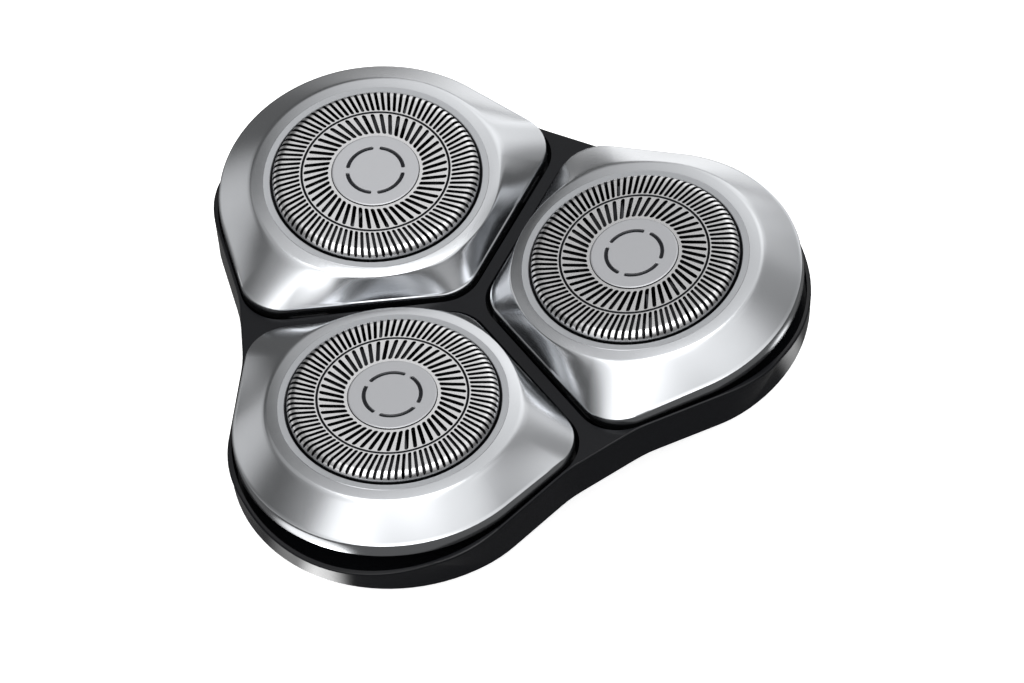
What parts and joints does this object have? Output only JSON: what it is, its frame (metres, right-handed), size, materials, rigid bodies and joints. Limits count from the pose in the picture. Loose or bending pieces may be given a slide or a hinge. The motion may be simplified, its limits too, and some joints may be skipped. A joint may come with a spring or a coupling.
{
  "type": "rotary shaver head",
  "caption": "Rotary shaver head: slotted round guards in silver covers that tilt on a black three-lobed housing, with gears that turn the cutters.",
  "frame": {"origin": "centre of the coupling collar's bore, on the collar's end face", "axes": "+Z is the head axis, out through the guards; +X points to the first unit"},
  "size_m": [0.0621, 0.0662, 0.0168],
  "materials": {
    "cover_silver": "plated satin silver plastic with a smooth sheen",
    "guard_steel": "fine stamped and polished stainless steel",
    "disc_silver": "matt blasted silver",
    "housing_black": "glossy black moulded plastic",
    "frame_black": "matt black moulded plastic",
    "gear_acetal": "natural moulded acetal",
    "spring_steel": "drawn steel wire",
    "cutter_steel": "ground stainless steel",
    "screw_steel": "zinc plated steel"
  },
  "bodies": {
    "housing": {"housing": "housing_black", "gear_case": "frame_black", "case_screws": "screw_steel"},
    "drive": {"drive_gear": "gear_acetal"},
    "spindle_1": {"unit_gear_1": "gear_acetal", "spindle_1": "gear_acetal", "spindle_spring_1": "spring_steel"},
    "unit_1": {"unit_cover_1": "cover_silver", "unit_frame_1": "frame_black", "retainer_1": "frame_black", "guard_1": "guard_steel", "guard_disc_1": "disc_silver"},
    "cutter_1": {"cutter_1": "cutter_steel", "cutter_carrier_1": "frame_black"},
    "spindle_2": {"unit_gear_2": "gear_acetal", "spindle_2": "gear_acetal", "spindle_spring_2": "spring_steel"},
    "unit_2": {"unit_cover_2": "cover_silver", "unit_frame_2": "frame_black", "retainer_2": "frame_black", "guard_2": "guard_steel", "guard_disc_2": "disc_silver"},
    "cutter_2": {"cutter_2": "cutter_steel", "cutter_carrier_2": "frame_black"},
    "spindle_3": {"unit_gear_3": "gear_acetal", "spindle_3": "gear_acetal", "spindle_spring_3": "spring_steel"},
    "unit_3": {"unit_cover_3": "cover_silver", "unit_frame_3": "frame_black", "retainer_3": "frame_black", "guard_3": "guard_steel", "guard_disc_3": "disc_silver"},
    "cutter_3": {"cutter_3": "cutter_steel", "cutter_carrier_3": "frame_black"}
  },
  "joints": [
    {"name": "drive_spin", "type": "hinge", "parent": "housing", "child": "drive", "pos_m": [0, 0, 0.0055], "axis": [0, 0, 1], "continuous": true},
    {"name": "unit_gear_spin_1", "type": "hinge", "parent": "housing", "child": "spindle_1", "pos_m": [0.01776, 0, 0.0055], "axis": [0, 0, 1], "continuous": true},
    {"name": "unit_tilt_1", "type": "hinge", "parent": "housing", "child": "unit_1", "pos_m": [0.01776, 0, 0.01161], "axis": [0, 1, 0], "range_deg": [-2.5, 5], "stiffness_Nm_per_rad": 0.06},
    {"name": "cutter_spin_1", "type": "hinge", "parent": "unit_1", "child": "cutter_1", "pos_m": [0.01776, 0, 0.01161], "axis": [-0.0576, 0, 0.9983], "continuous": true},
    {"name": "unit_gear_spin_2", "type": "hinge", "parent": "housing", "child": "spindle_2", "pos_m": [-0.00888, 0.01538, 0.0055], "axis": [0, 0, 1], "continuous": true},
    {"name": "unit_tilt_2", "type": "hinge", "parent": "housing", "child": "unit_2", "pos_m": [-0.00888, 0.01538, 0.01161], "axis": [-0.866, -0.5, 0], "range_deg": [-2.5, 5], "stiffness_Nm_per_rad": 0.06},
    {"name": "cutter_spin_2", "type": "hinge", "parent": "unit_2", "child": "cutter_2", "pos_m": [-0.00888, 0.01538, 0.01161], "axis": [0.0288, -0.0499, 0.9983], "continuous": true},
    {"name": "unit_gear_spin_3", "type": "hinge", "parent": "housing", "child": "spindle_3", "pos_m": [-0.00888, -0.01538, 0.0055], "axis": [0, 0, 1], "continuous": true},
    {"name": "unit_tilt_3", "type": "hinge", "parent": "housing", "child": "unit_3", "pos_m": [-0.00888, -0.01538, 0.01161], "axis": [0.866, -0.5, 0], "range_deg": [-2.5, 5], "stiffness_Nm_per_rad": 0.06},
    {"name": "cutter_spin_3", "type": "hinge", "parent": "unit_3", "child": "cutter_3", "pos_m": [-0.00888, -0.01538, 0.01161], "axis": [0.0288, 0.0499, 0.9983], "continuous": true}
  ],
  "couplings": [
    {"joint": "unit_gear_spin_1", "follows": "drive_spin", "ratio": -2},
    {"joint": "cutter_spin_1", "follows": "drive_spin", "ratio": -2},
    {"joint": "unit_gear_spin_2", "follows": "drive_spin", "ratio": -2},
    {"joint": "cutter_spin_2", "follows": "drive_spin", "ratio": -2},
    {"joint": "unit_gear_spin_3", "follows": "drive_spin", "ratio": -2},
    {"joint": "cutter_spin_3", "follows": "drive_spin", "ratio": -2}
  ]
}
